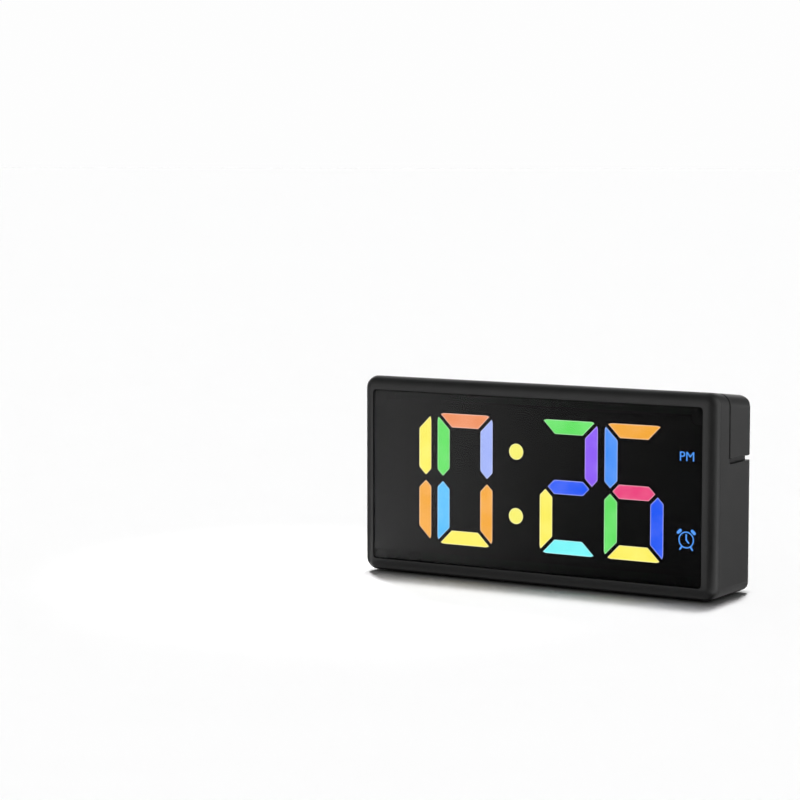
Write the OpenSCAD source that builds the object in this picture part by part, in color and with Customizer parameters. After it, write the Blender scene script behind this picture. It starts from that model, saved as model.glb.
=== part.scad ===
/* [Digits] */
// Height of a digit
digit_h = 53.4; // [50:0.1:58]
// Width of a digit
digit_w = 25.9; // [24:0.1:28]
// Width of a segment bar
stroke = 6; // [5:0.1:6.6]
// Dark gap where two segment bars meet
segment_gap = 1.1; // [0.8:0.1:1.6]
// Radius on the outer corners of a digit
digit_r = 3.5; // [2.5:0.1:4.5]
// Distance from a digit's outer edge to the point where its middle bars meet
mid_inset = 2.7; // [2.2:0.1:3]
// Gap between two neighbouring digits
digit_gap = 2.6; // [2:0.1:4]
// Space between the hours and the minutes
colon_space = 21.1; // [16:0.1:26]
// Radius of a colon dot
dot_r = 3.65; // [3:0.05:4.5]
// Distance between the middles of the colon dots
dot_spacing = 25.7; // [20:0.1:30]
// Distance from the last digit to the middle of the status column
status_space = 9.5; // [8:0.1:12]
// Width of the two status windows
status_w = 8.4; // [7:0.1:9]
// Height of the upper status window
status_h = 4.6; // [4:0.1:6]
// Height of the alarm window
alarm_h = 8.8; // [7:0.1:10]
// Height of the upper status window above the middle of the display
status_rise = 15.3; // [10:0.1:20]
// Depth of the alarm window below the middle of the display
alarm_fall = 16.6; // [10:0.1:20]
// Sideways shift of all lit areas
layout_shift = -0.9; // [-1:0.1:1]

/* [Front] */
// Clear window beside the outermost lit areas
side_margin = 1.95; // [1.5:0.05:6]
// Clear window above and below the digits
end_margin = 8.05; // [7:0.05:12]
// Radius of the front edge and of the case corners
edge_r = 5; // [4.5:0.1:6]
// Flat rim between the window and the rounded edge
rim_flat = 0.25; // [0.1:0.05:1]
// Corner radius of the window
lens_r = 1.5; // [1:0.1:2.5]
// Step from the rim down to the window
lens_recess = 0.2; // [0.1:0.05:0.4]
// Thickness of the rim's lip in front of the window's flange
lip_t = 0.8; // [0.6:0.05:1.2]
// Overlap of the lip and the window's flange
lens_overlap = 1.2; // [0.8:0.05:1.4]
// Thickness of the adhesive frame
tape_t = 0.15; // [0.1:0.05:0.3]
// Thickness of the window's flange
lens_flange_t = 0.6; // [0.5:0.05:1]

/* [Case] */
// Wall of the rear housing
wall = 2.2; // [1.9:0.1:2.5]
// Fall of the top towards the rear, in degrees
top_slope = 6.25; // [4:0.25:7]
// Radius of the rear edges
rear_r = 1.5; // [1:0.1:2]
// Length of the front frame's tongue inside the housing
tongue_l = 3; // [2:0.1:4]
// Wall of the tongue
tongue_wall = 1.2; // [1:0.05:1.4]
// Height of the feet under the case
foot_proud = 0.6; // [0.4:0.1:1.5]
// Radius of a foot
foot_r = 4.5; // [3.5:0.1:5]
// Depth of the pocket that holds a foot
foot_pocket = 0.8; // [0.5:0.1:1]
// Distance from a foot to the end of the case
foot_inset = 17; // [12:0.5:30]

/* [Snooze bar] */
// Thickness of the web in front of the seam
seam_wall = 1.1; // [0.9:0.05:2]
// Width of the seam
seam_gap = 1; // [0.5:0.05:1.2]
// Height of the snooze bar's cheeks
bar_h = 26.2; // [23:0.1:28]
// Wall of the snooze bar
bar_wall = 1.4; // [1.2:0.05:2.2]
// Thickness of the snooze bar's top
bar_top = 2; // [1.6:0.05:2.4]
// Height of the open groove under the snooze bar
groove_h = 1.8; // [1.6:0.1:3]
// Travel of the snooze bar
bar_travel = 1.2; // [0.8:0.05:1.5]
// Corner radius where the seam turns into the groove
seam_r = 2; // [1.6:0.1:3]
// Wall of the neck under the snooze bar
neck_wall = 1.8; // [1.5:0.05:2]
// Distance of a return spring from the middle
spring_x = 38; // [30:0.5:44]
// Outer radius of a return spring
spring_r = 2.8; // [2.4:0.05:3]
// Wire radius of a return spring
spring_wire_r = 0.3; // [0.2:0.02:0.36]
// Turns of a return spring
spring_turns = 7; // [5:1:8]
// Depth of the well that holds a return spring
well_depth = 7.8; // [6.5:0.1:8.2]
// Distance of a catch leg from the middle
catch_x = 57; // [52:0.5:62]
// Width of a catch leg
catch_w = 7; // [5:0.1:9]

/* [Boards] */
// Depth of the light chambers
block_depth = 8.5; // [7:0.1:10]
// Dark rim of the display block above and below the digits
block_rim = 4; // [3.5:0.1:4.5]
// Thickness of the coloured windows in the light chambers
window_t = 1.2; // [0.8:0.1:2]
// Thickness of both boards
board_t = 1.6; // [1.2:0.1:2]
// Space between the two boards
board_space = 12.1; // [10:0.1:13]
// Width of the main board
main_w = 116; // [112:1:124]
// Gap between the main board and the spring wells
board_room = 2.8; // [2.4:0.1:6]
// Radius of the board posts
post_r = 2.7; // [2.4:0.05:3]
// Radius of the screws' shanks
screw_r = 1.25; // [1.1:0.05:1.4]
// Distance of a case screw from the middle
case_screw_x = 60; // [58:0.5:63]
// Radius of the case screws' shanks
case_screw_r = 1.45; // [1.3:0.05:1.5]

/* [Controls] */
// Distance between the middles of two set buttons
button_pitch = 17; // [15:0.1:18]
// Width of a set button
button_w = 11; // [9:0.1:11.5]
// Height of a set button
button_h = 6; // [5:0.1:6.6]
// Height of the button row above the underside of the case
button_z = 40; // [39:0.1:42]
// Travel of a set button
button_travel = 0.5; // [0.3:0.05:0.8]
// Depth of the recess round the buttons
recess_depth = 1; // [0.6:0.05:1.1]
// Height of a set button above the floor of the recess
button_proud = 0.8; // [0.6:0.05:0.9]
// Height of a key switch with its plunger
switch_h = 3.8; // [3.4:0.1:4.5]
// Distance of the power inlet from the end of the main board
inlet_edge = 10; // [8:0.5:12]
// Height of the power inlet above the underside of the case
inlet_z = 17; // [15:0.5:19]
// Distance of the buzzer from the end of the main board
buzzer_edge = 12; // [11:0.5:14]
// Height of the buzzer above the underside of the case
buzzer_z = 21; // [20:0.5:24]
// Radius of the buzzer
buzzer_r = 8; // [6.5:0.1:8.5]

/* [Backup cell] */
// Radius of the cell
cell_r = 10; // [8:0.1:10.2]
// Thickness of the cell
cell_t = 3.2; // [2:0.1:3.3]
// Height of the cell above the underside of the case
cell_z = 18; // [17.5:0.1:19]
// Radius of the twist cover
cover_r = 13; // [12.8:0.05:13.4]
// Thickness of the twist cover's disc
cover_t = 1.7; // [1.5:0.05:1.8]
// Width of the coin slot in the cover
coin_slot_w = 2; // [1.5:0.1:2.5]

/* [Clearances] */
// Gap round the window and its flange
lens_fit = 0.2; // [0.05:0.01:0.25]
// Gap between the tongue and the housing
tongue_fit = 0.15; // [0.1:0.01:0.25]
// Gap between the snooze bar and the neck
bar_fit = 0.3; // [0.25:0.01:0.6]
// Free height over the neck when the snooze bar is down
neck_room = 1.2; // [0.9:0.05:1.4]
// Gap round a set button
button_fit = 0.2; // [0.1:0.01:0.25]
// Gap between moving faces that nearly touch
touch_gap = 0.1; // [0.05:0.01:0.15]
// Gap between a switch and what presses it at the end of the travel
press_gap = 0.05; // [0.03:0.01:0.1]
// Gap round the twist cover
cover_fit = 0.2; // [0.15:0.01:0.3]
// Gap round screws, pegs and pins
pin_fit = 0.05; // [0.02:0.01:0.1]

/* [Hidden] */
$fn = 64;

// Colours
black = "#232325";
dark = "#151516";
board_green = "#1f5a3a";
metal = "#b9bcc0";

// Width of all lit areas, and the left edge of each digit
layout_w = 4 * digit_w + 2 * digit_gap + colon_space + status_space + status_w / 2;
digit_step = digit_w + digit_gap;
first_x = layout_shift - layout_w / 2;
minute_x = first_x + digit_step + digit_w + colon_space;
digit_x = [first_x, first_x + digit_step, minute_x, minute_x + digit_step];
colon_x = minute_x - colon_space / 2;
status_x = minute_x + digit_step + digit_w + status_space;

// Window and case outline
open_w = layout_w + 2 * side_margin;
open_h = digit_h + 2 * end_margin;
rim = edge_r + rim_flat;
case_w = open_w + 2 * rim;
case_h = open_h + 2 * rim;
mid_z = case_h / 2;
flange_w = open_w + 2 * lens_overlap;
flange_h = open_h + 2 * lens_overlap;
flange_r = lens_r + lens_overlap;
slope_tan = tan(top_slope);
slope_cos = cos(top_slope);

// Depths from the front plane, front to rear
flange_front = lip_t + tape_t;
flange_back = flange_front + lens_flange_t;
face = flange_back + pin_fit;
block_back = face + block_depth;
display_back = block_back + board_t;
main_front = display_back + board_space;
main_back = main_front + board_t;
button_flange_t = 1.05;
button_front = main_back + switch_h + button_travel + press_gap;
button_seat = button_front + button_flange_t;
inner_back = button_seat + touch_gap;
case_d = inner_back + wall;
recess_floor = case_d - recess_depth;

// Inside of the front frame and its tongue
tongue_inset = wall + tongue_fit;
tongue_w = case_w - 2 * tongue_inset;
tongue_end = edge_r + tongue_l;
tongue_high = case_h - tongue_inset - tongue_l * slope_tan;
cavity_inset = tongue_inset + tongue_wall;
cavity_w = case_w - 2 * cavity_inset;
cavity_high = tongue_high - tongue_wall;
cavity_r = 2;

// Display block, its board and the posts that carry them
block_w = layout_w + 2 * side_margin + 0.7;
block_low = mid_z - digit_h / 2 - block_rim;
block_high = mid_z + digit_h / 2 + block_rim;
board_fit = 0.6;
display_w = cavity_w - 2 * board_fit;
display_low = cavity_inset + board_fit;
display_high = cavity_high - board_fit;
post_fit = 0.4;
post_low = block_low - post_r - post_fit;
post_x = display_w / 2 - post_r - 1;
post_hole_r = post_r + 0.3;
bore_floor = 2;
bore_front = flange_back + bore_floor;
tip_room = 0.5;
peg_r = 1.5;
led_size = [3.5, 1.4, 2.8];
head_t = 1.8;
head_r = 2.4;
hook_x = 30;
hook_w = 10;
hook_t = 1.4;
hook_barb = 0.9;
hook_notch = 3;
rib_front = tongue_end + 0.6;
rib_t = 1.4;
hook_end = rib_front + rib_t + touch_gap + 1.4;
hook_high = cavity_high - touch_gap;

// Snooze bar, its neck and its guides
seam_depth = display_back + touch_gap + seam_wall;
shoulder_z = case_h - bar_h - groove_h;
bar_low = case_h - bar_h;
bar_front = seam_depth + seam_gap;
neck_inset = bar_wall + bar_fit;
neck_drop = bar_top / slope_cos + bar_travel + neck_room;
guide_y = (seam_depth + case_d) / 2 - 1.5;
well_r = spring_r + 0.5;
well_wall = 1;
well_floor = 1.2;
spring_post_r = spring_r - 2 * spring_wire_r - 0.4;
spring_boss_r = spring_r + 0.2;
boss_room = 0.3;
stem_w = 5;
stem_t = 2.4;
stem_room = 0.8;
catch_t = 1.5;
catch_barb = 0.9;
catch_room = 0.45;
catch_gap = 0.15;
catch_l = 2.2;
spring_post_l = 4.5;
plunger_l = 1.5;

// Upper board posts, low enough for their screw heads to clear the neck
neck_low = top_z(display_back + head_t) - neck_drop - neck_wall / slope_cos;
head_room = 0.2;
post_high = min(block_high + post_r + post_fit, neck_low - head_r - head_room);

// Main board, its supports and what it carries
button_count = 5;
tower_r = 3.9;
tower_bore_r = 3.1;
tower_l = 13.8;
tower_seat_t = 4;
tower_gap = 0.4;
main_low = post_low + tower_r + tower_gap;
main_high = neck_z(guide_y) - well_depth - well_floor - board_room;
boss_r = 3;
boss_edge = 6;
boss_rise = 3.5;
boss_drop = 15;
boss_low = [30, main_low + boss_rise];
boss_high = [main_w / 2 - boss_edge, main_high - boss_drop];
board_screw_l = 4;
header_x = -22;
header_z = 30;
header_pitch = 2.54;
header_pins_n = 8;
header_base_t = 2.5;
pin_w = 0.64;
switch_w = 6;
switch_plunger_t = 0.7;
switch_plunger_r = 1.7;
snooze_body = [6, 3.5, 4];
snooze_plunger_r = 1.2;
tower_seat = case_d - tower_l;
tower_front = tower_seat - tower_seat_t;
case_post_end = tower_front - touch_gap;
case_head_r = 2.8;
case_head_t = 2.2;
inlet_x = main_w / 2 - inlet_edge;
inlet_w = 9;
inlet_h = 3.3;
inlet_wall = 0.4;
inlet_sink = 0.3;
inlet_depth = 6.2;
inlet_tongue = [6.6, 0.7];
tongue_sink = 1;
buzzer_x = main_w / 2 - buzzer_edge;
buzzer_gap = 0.3;
buzzer_hole_r = 1.2;
buzzer_hole_l = 1.5;
chip_size = [18, 2.1, 7.6];
chip_x = 22;
chip_z = 34;
chip_lift = 0.2;
leg_size = [0.4, 1.2, 1.3];
leg_pitch = 1.27;
leg_count = 14;

// Backup cell, its cup and its twist cover
cell_fit = 0.4;
contact_t = 0.3;
cup_r = cell_r + cell_fit;
ring_wall = 1;
ring_r = cup_r + ring_wall;
lug = 0.8;
lug_t = 0.9;
lug_angle = 36;
lock_angle = 45;
cover_back = case_d;
cover_under = cover_back - cover_t;
ledge_t = 0.7;
ledge_front = cover_under - touch_gap - ledge_t;
groove_front = ledge_front - lug_t - 2 * touch_gap;
cell_back = cover_under - 0.4;
cell_front = cell_back - cell_t;
cup_floor = cell_front - contact_t;
cup_floor_t = 1;
cup_wall = 1.2;
cell_rim_t = 0.6;
cell_rim_step = 0.8;
contact_w = 8;
contact_h = 6;
contact_leg = 2;
contact_side = 4;
contact_fit = 0.5;
groove_r = ring_r + cover_fit + lug + cover_fit;

// Height of the sloping top at a depth
function top_z(y) = case_h - (y - edge_r) * slope_tan;

// Height of the neck's top and of the snooze bar's underside at a depth
function neck_z(y) = top_z(y) - neck_drop;
function under_z(y) = top_z(y) - bar_top / slope_cos;

// Puts the case frame, with depths from the front and heights from the underside, into the part's frame
module in_case() {
    translate([0, -case_d / 2, foot_proud]) children();
}

// Box between two corners
module box(low, high) {
    translate(low) cube(high - low);
}

// Box with a middle and a width, and with ends along the depth and along the height
module bar(x, w, depths, heights) {
    translate([x - w / 2, depths[0], heights[0]]) cube([w, depths[1] - depths[0], heights[1] - heights[0]]);
}

// Round bar along the depth
module rod(x, z, r, from, to) {
    translate([x, from, z]) rotate([-90, 0, 0]) cylinder(r = r, h = to - from);
}

// Round bar along the height
module pillar(x, y, r, from, to) {
    translate([x, y, from]) cylinder(r = r, h = to - from);
}

// Flat outline, drawn as width and height, made solid along the depth
module along_depth(from, to) {
    translate([0, to, 0]) rotate([90, 0, 0]) linear_extrude(to - from) children();
}

// Flat outline, drawn as depth and height, made solid along the width
module along_width(w) {
    translate([-w / 2, 0, 0]) rotate([90, 0, 90]) linear_extrude(w) children();
}

// Rectangle with round corners, drawn as width and height
module round_rect(w, low, high, r) {
    translate([-w / 2, low + r]) square([w, high - low - 2 * r]);
    translate([-w / 2 + r, low]) square([w - 2 * r, high - low]);
    for (sx = [-1, 1], z = [low + r, high - r]) {
        translate([sx * (w / 2 - r), z]) circle(r);
    }
}

// Outline with two half-round ends
module pill(w, h) {
    square([w - h, h], center = true);
    for (s = [-1, 1]) translate([s * (w - h) / 2, 0]) circle(h / 2);
}

module plate(w, low, high, r, from, to) {
    along_depth(from, to) round_rect(w, low, high, r);
}

module pill_plate(x, z, w, h, from, to) {
    along_depth(from, to) translate([x, z]) pill(w, h);
}

// Case outline with an inset, whose top falls towards the rear and lies a drop below the outer top
module case_form(inset, drop, from, to) {
    w = case_w - 2 * inset;
    r = max(edge_r - inset, 0.8);
    tall = 2 * case_h;
    intersection() {
        plate(w, inset, tall, r, from, to);
        translate([0, edge_r, case_h - drop])
            rotate([-top_slope, 0, 0])
                plate(w, -tall, 0, r, -case_d, 2 * case_d);
    }
}

// Side profile with round rear edges
module side_profile() {
    c_y = case_d - rear_r;
    c_z = top_z(c_y) - rear_r / slope_cos;
    top_point = [c_y + rear_r * sin(top_slope), c_z + rear_r * slope_cos];
    polygon([[0, 0], [c_y, 0], [case_d, rear_r], [case_d, c_z], top_point, [0, top_z(0)]]);
    translate([c_y, rear_r]) circle(rear_r);
    translate([c_y, c_z]) circle(rear_r);
}

// Plan with round rear corners
module plan_profile() {
    translate([-case_w / 2, 0]) square([case_w, case_d - rear_r]);
    translate([-case_w / 2 + rear_r, 0]) square([case_w - 2 * rear_r, case_d]);
    for (s = [-1, 1]) translate([s * (case_w / 2 - rear_r), case_d - rear_r]) circle(rear_r);
}

module case_outer() {
    intersection() {
        case_form(0, 0, edge_r, case_d);
        along_width(case_w + 2) side_profile();
        translate([0, 0, -1]) linear_extrude(case_h + 2) plan_profile();
    }
}

// Everything behind a depth and above a height, with a round inner corner
module rear_top(from, low, r) {
    reach = 2 * case_h;
    along_width(case_w + 10) {
        translate([from + r, low]) square(reach);
        translate([from, low + r]) square(reach);
        translate([from + r, low + r]) circle(r);
    }
}

// One bar of a digit, numbered clockwise from the top, with the middle bar last
module segment(i) {
    k = segment_gap / sqrt(2);
    h2 = digit_h / 2;
    flat = [
        [k, digit_h], [digit_w - k, digit_h],
        [digit_w - stroke - k, digit_h - stroke], [stroke + k, digit_h - stroke]
    ];
    tip = h2 + k;
    tall = [
        [0, digit_h - k], [stroke, digit_h - stroke - k], [stroke, tip + stroke - mid_inset],
        [mid_inset, tip], [0, tip + mid_inset]
    ];
    half = stroke / 2;
    left = mid_inset + k;
    far = digit_w - left;
    middle = [
        [left, h2], [left + half, h2 + half], [far - half, h2 + half],
        [far, h2], [far - half, h2 - half], [left + half, h2 - half]
    ];
    right = i == 1 || i == 2;
    lower = i == 2 || i == 3 || i == 4;
    outline = i == 6 ? middle : i == 0 || i == 3 ? flat : tall;
    turned = [for (p = outline) [right ? digit_w - p[0] : p[0], lower ? digit_h - p[1] : p[1]]];
    intersection() {
        polygon(turned);
        translate([digit_w / 2, 0]) round_rect(digit_w, 0, digit_h, digit_r);
    }
}

// Middle of each bar of a digit
segment_mid = [
    [digit_w / 2, digit_h - stroke / 2],
    [digit_w - stroke / 2, digit_h * 3 / 4],
    [digit_w - stroke / 2, digit_h / 4],
    [digit_w / 2, stroke / 2],
    [stroke / 2, digit_h / 4],
    [stroke / 2, digit_h * 3 / 4],
    [digit_w / 2, digit_h / 2]
];

module digit_bars(n, from, to) {
    for (i = [0:6]) {
        along_depth(from, to) translate([digit_x[n], mid_z - digit_h / 2]) segment(i);
    }
}

module dots(from, to) {
    for (s = [-1, 1]) rod(colon_x, mid_z + s * dot_spacing / 2, dot_r, from, to);
}

module status_areas(from, to) {
    status_z = mid_z + status_rise;
    alarm_z = mid_z - alarm_fall;
    bar(status_x, status_w, [from, to], [status_z - status_h / 2, status_z + status_h / 2]);
    bar(status_x, status_w, [from, to], [alarm_z - alarm_h / 2, alarm_z + alarm_h / 2]);
}

// Quarter of a disc
module quarter(r) {
    intersection() {
        circle(r);
        square(r);
    }
}

// Front of the case: flat in the middle, with every edge and corner rounded
module front_form() {
    r = edge_r;
    long = case_w - 2 * r;
    tall = case_h - 2 * r;
    box([-long / 2, 0, r], [long / 2, r, case_h - r]);
    along_width(long) translate([r, case_h - r]) mirror([1, 0]) quarter(r);
    along_width(long) translate([r, r]) mirror([0, 1]) mirror([1, 0]) quarter(r);
    for (s = [0, 1]) mirror([s, 0, 0]) {
        translate([0, 0, r]) linear_extrude(tall) translate([case_w / 2 - r, r]) mirror([0, 1]) quarter(r);
        for (low = [0, 1]) translate([0, 0, low * case_h]) mirror([0, 0, low]) {
            translate([case_w / 2 - r, r, case_h - r]) intersection() {
                sphere(r);
                translate([0, -r, 0]) cube(r);
            }
        }
    }
}

// Post on the front frame, with the gusset that ties it to the frame
module frame_post(x, z, to) {
    foot = z < mid_z ? tongue_inset + tongue_wall / 2 : cavity_high + tongue_wall / 2;
    start = flange_back + post_fit;
    rod(x, z, post_r, start, to);
    bar(x, 2 * post_r, [start, tongue_end], [min(z, foot), max(z, foot)]);
}

// Spring catch on the upper edge of the front frame
module frame_hook(x) {
    low = hook_high - hook_t;
    barb_front = rib_front + rib_t + touch_gap;
    bar(x, hook_w, [flange_back + post_fit, tongue_end], [low, cavity_high + tongue_wall / 2]);
    bar(x, hook_w, [edge_r, hook_end], [low, hook_high]);
    bar(x, hook_w, [barb_front, hook_end], [low, hook_high + hook_barb]);
}

module front_bezel() {
    color(black) in_case() difference() {
        union() {
            difference() {
                union() {
                    front_form();
                    plate(tongue_w, tongue_inset, tongue_high, edge_r - tongue_inset, edge_r, tongue_end);
                }
                plate(open_w, mid_z - open_h / 2, mid_z + open_h / 2, lens_r, -1, lip_t);
                plate(cavity_w, cavity_inset, cavity_high, cavity_r, lip_t, tongue_end + 1);
            }
            for (s = [-1, 1]) {
                frame_post(s * post_x, post_low, block_back);
                frame_post(s * post_x, post_high, block_back);
                frame_post(s * case_screw_x, post_low, case_post_end);
                frame_hook(s * hook_x);
            }
        }
        for (s = [-1, 1]) {
            rod(s * post_x, post_low, screw_r + pin_fit, bore_front, block_back + 1);
            rod(s * post_x, post_high, screw_r + pin_fit, bore_front, block_back + 1);
            rod(s * case_screw_x, post_low, case_screw_r + pin_fit, bore_front, case_post_end + 1);
        }
    }
}

module front_lens() {
    w = open_w - 2 * lens_fit;
    h = open_h - 2 * lens_fit;
    color(dark) in_case() {
        plate(w, mid_z - h / 2, mid_z + h / 2, lens_r - lens_fit, lens_recess, flange_front);
        plate(flange_w, mid_z - flange_h / 2, mid_z + flange_h / 2, flange_r, flange_front, flange_back);
    }
}

module lens_tape() {
    color("#3a3a3c") in_case() difference() {
        plate(flange_w, mid_z - flange_h / 2, mid_z + flange_h / 2, flange_r, lip_t, flange_front);
        plate(open_w, mid_z - open_h / 2, mid_z + open_h / 2, lens_r, lip_t - 1, flange_front + 1);
    }
}

module display_block() {
    color(dark) in_case() {
        difference() {
            plate_at(layout_shift, block_w, block_low, block_high, 1, face, block_back);
            for (n = [0:3]) digit_bars(n, face - 1, block_back + 1);
            dots(face - 1, block_back + 1);
            status_areas(face - 1, block_back + 1);
            for (s = [-1, 1]) rod(s * post_x, post_high, post_r + post_fit, face - 1, block_back + 1);
        }
        for (x = [colon_x, status_x]) rod(x, mid_z, peg_r, block_back, display_back);
    }
}

module plate_at(x, w, low, high, r, from, to) {
    translate([x, 0, 0]) plate(w, low, high, r, from, to);
}

module hour_tens_segments() {
    color("#f2e04a") in_case() digit_bars(0, face, face + window_t);
}

module hour_units_segments() {
    color("#52d95a") in_case() digit_bars(1, face, face + window_t);
}

module colon_dots() {
    color("#f7f07a") in_case() dots(face, face + window_t);
}

module minute_tens_segments() {
    color("#7a55ee") in_case() digit_bars(2, face, face + window_t);
}

module minute_units_segments() {
    color("#2f62f0") in_case() digit_bars(3, face, face + window_t);
}

module status_windows() {
    color("#4b9bff") in_case() status_areas(face, face + window_t);
}

module display_board() {
    from = block_back - 1;
    to = display_back + 1;
    color(board_green) in_case() difference() {
        plate(display_w, display_low, display_high, 1, block_back, display_back);
        for (s = [-1, 1]) {
            for (z = [post_low, post_high]) rod(s * post_x, z, screw_r + pin_fit, from, to);
            rod(s * case_screw_x, post_low, post_hole_r, from, to);
            bar(s * hook_x, hook_w + 2, [from, to], [display_high - hook_notch, display_high + 1]);
        }
        for (x = [colon_x, status_x]) rod(x, mid_z, peg_r + pin_fit, from, to);
    }
}

module led(x, z) {
    bar(x, led_size[0], [block_back - led_size[1], block_back], [z - led_size[2] / 2, z + led_size[2] / 2]);
}

module display_leds() {
    color("#f4efd8") in_case() {
        for (x = digit_x, p = segment_mid) led(x + p[0], mid_z - digit_h / 2 + p[1]);
        for (s = [-1, 1]) led(colon_x, mid_z + s * dot_spacing / 2);
        led(status_x, mid_z + status_rise);
        led(status_x, mid_z - alarm_fall);
    }
}

// Screw along the depth, with its head towards the rear
module screw(x, z, r, head_r, head_t, seat, tip) {
    difference() {
        union() {
            rod(x, z, r, tip, seat);
            rod(x, z, head_r, seat, seat + head_t);
        }
        for (a = [0, 90]) translate([x, seat + head_t, z]) rotate([0, a, 0]) {
            cube([head_r * 1.2, head_t, head_r * 0.3], center = true);
        }
    }
}

module display_screws() {
    color(metal) in_case() for (s = [-1, 1], z = [post_low, post_high]) {
        screw(s * post_x, z, screw_r, head_r, head_t, display_back, bore_front + tip_room);
    }
}

module header_row(w, from, to) {
    for (i = [0:header_pins_n - 1], j = [0, 1]) {
        x = header_x + (i - (header_pins_n - 1) / 2) * header_pitch;
        z = header_z + (j - 0.5) * header_pitch;
        bar(x, w, [from, to], [z - w / 2, z + w / 2]);
    }
}

module header_body(from, to) {
    w = header_pins_n * header_pitch;
    bar(header_x, w, [from, to], [header_z - header_pitch, header_z + header_pitch]);
}

module header_pins() {
    color(dark) in_case() {
        header_body(display_back, display_back + header_base_t);
        header_row(pin_w, display_back + header_base_t, main_front - 2.5);
    }
}

module header_socket() {
    color(dark) in_case() difference() {
        header_body(display_back + header_base_t, main_front);
        header_row(pin_w + 2 * pin_fit, display_back + header_base_t - 1, main_front - 2);
    }
}

module main_board() {
    color(board_green) in_case() difference() {
        plate(main_w, main_low, main_high, 1, main_front, main_back);
        for (s = [-1, 1], p = [boss_low, boss_high]) {
            rod(s * p[0], p[1], screw_r + pin_fit, main_front - 1, main_back + 1);
        }
    }
}

module controller_chip() {
    back = main_front - chip_lift;
    half = chip_size[2] / 2;
    leg_z = half + leg_size[1] / 2;
    color("#2b2b2e") in_case() {
        bar(chip_x, chip_size[0], [back - chip_size[1], back], [chip_z - half, chip_z + half]);
        for (i = [0:leg_count - 1], s = [-1, 1]) {
            leg_x = chip_x + (i - (leg_count - 1) / 2) * leg_pitch;
            translate([leg_x, main_front - leg_size[1] / 2, chip_z + s * leg_z])
                cube(leg_size, center = true);
        }
    }
}

function button_x(i) = (i - (button_count - 1) / 2) * button_pitch;

module tact_switches() {
    body_back = main_back + switch_h - switch_plunger_t;
    color("#3b3b3e") in_case() for (i = [0:button_count - 1]) {
        x = button_x(i);
        bar(x, switch_w, [main_back, body_back], [button_z - switch_w / 2, button_z + switch_w / 2]);
        rod(x, button_z, switch_plunger_r, body_back, main_back + switch_h);
    }
}

// Middle of the snooze switch: it stands on the front of the main board and points upwards
snooze_y = main_front - snooze_body[1] / 2;
snooze_top = main_high + plunger_l;

module snooze_switch() {
    front = main_front - snooze_body[1];
    color("#3b3b3e") in_case() {
        bar(0, snooze_body[0], [front, main_front], [main_high - snooze_body[2], main_high]);
        pillar(0, snooze_y, snooze_plunger_r, main_high, snooze_top);
    }
}

module buzzer() {
    back = inner_back - buzzer_gap;
    color("#1c1c1e") in_case() difference() {
        rod(-buzzer_x, buzzer_z, buzzer_r, main_back, back);
        rod(-buzzer_x, buzzer_z, buzzer_hole_r, back - buzzer_hole_l, back + 1);
    }
}

module power_socket() {
    mouth = case_d - inlet_sink;
    floor = mouth - inlet_depth;
    hollow_w = inlet_w - 2 * inlet_wall;
    hollow_h = inlet_h - 2 * inlet_wall;
    half = inlet_tongue[1] / 2;
    color(metal) in_case() {
        difference() {
            pill_plate(inlet_x, inlet_z, inlet_w, inlet_h, main_back, mouth);
            pill_plate(inlet_x, inlet_z, hollow_w, hollow_h, floor, mouth + 1);
        }
        bar(inlet_x, inlet_tongue[0], [floor, mouth - tongue_sink], [inlet_z - half, inlet_z + half]);
    }
}

module cell_contacts() {
    low = cell_z - contact_h / 2;
    half = contact_side / 2;
    side_x = cell_r + contact_t / 2;
    color("#c9c4b4") in_case() {
        bar(0, contact_w, [cup_floor, cell_front], [low, low + contact_h]);
        bar(0, contact_leg, [main_back, cup_floor], [low, low + contact_t]);
        bar(side_x, contact_t, [main_back, groove_front - touch_gap], [cell_z - half, cell_z + half]);
    }
}

module backup_cell() {
    color("#c7c9cc") in_case() {
        rod(0, cell_z, cell_r - cell_rim_step, cell_front, cell_front + cell_rim_t);
        rod(0, cell_z, cell_r, cell_front + cell_rim_t, cell_back);
    }
}

module board_screws() {
    color(metal) in_case() for (s = [-1, 1], p = [boss_low, boss_high]) {
        translate([0, 2 * main_front, 0]) mirror([0, 1, 0]) {
            screw(s * p[0], p[1], screw_r, head_r, head_t, main_front, main_front - board_t - board_screw_l);
        }
    }
}

// Wedge that opens about the depth axis, drawn as width and height
module wedge(r, angle, turn) {
    a = angle / 2;
    rotate(turn) polygon([[0, 0], [r * 2 * cos(a), r * 2 * sin(a)], [r * 2 * cos(a), -r * 2 * sin(a)]]);
}

// Two opposite stretches of a ring round the cell
module ring_parts(r_in, r_out, angle, turn, from, to) {
    along_depth(from, to) translate([0, cell_z]) for (s = [0, 180]) intersection() {
        difference() {
            circle(r_out);
            circle(r_in);
        }
        wedge(r_out, angle, turn + s);
    }
}

module housing_shell() {
    hollow_inset = neck_inset + neck_wall;
    difference() {
        case_outer();
        difference() {
            rear_top(seam_depth, shoulder_z, seam_r);
            case_form(neck_inset, neck_drop, 0, case_d - neck_inset);
        }
        difference() {
            case_form(wall, wall / slope_cos, 0, inner_back);
            rear_top(seam_depth - seam_wall, shoulder_z - wall, seam_r + seam_wall);
        }
        intersection() {
            case_form(hollow_inset, neck_drop + neck_wall / slope_cos, 0, case_d - hollow_inset);
            box([-case_w, edge_r, shoulder_z - 2 * wall], [case_w, case_d, case_h]);
        }
    }
}

module spring_well(x) {
    top = neck_z(guide_y);
    pillar(x, guide_y, well_r + well_wall, top - well_depth - well_floor, top - neck_wall / 2);
}

// Rib that the front frame's hook catches behind
module hook_rib(x) {
    bar(x, hook_w, [rib_front, rib_front + rib_t], [hook_high + touch_gap, top_z(rib_front) - wall / 2]);
}

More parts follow.
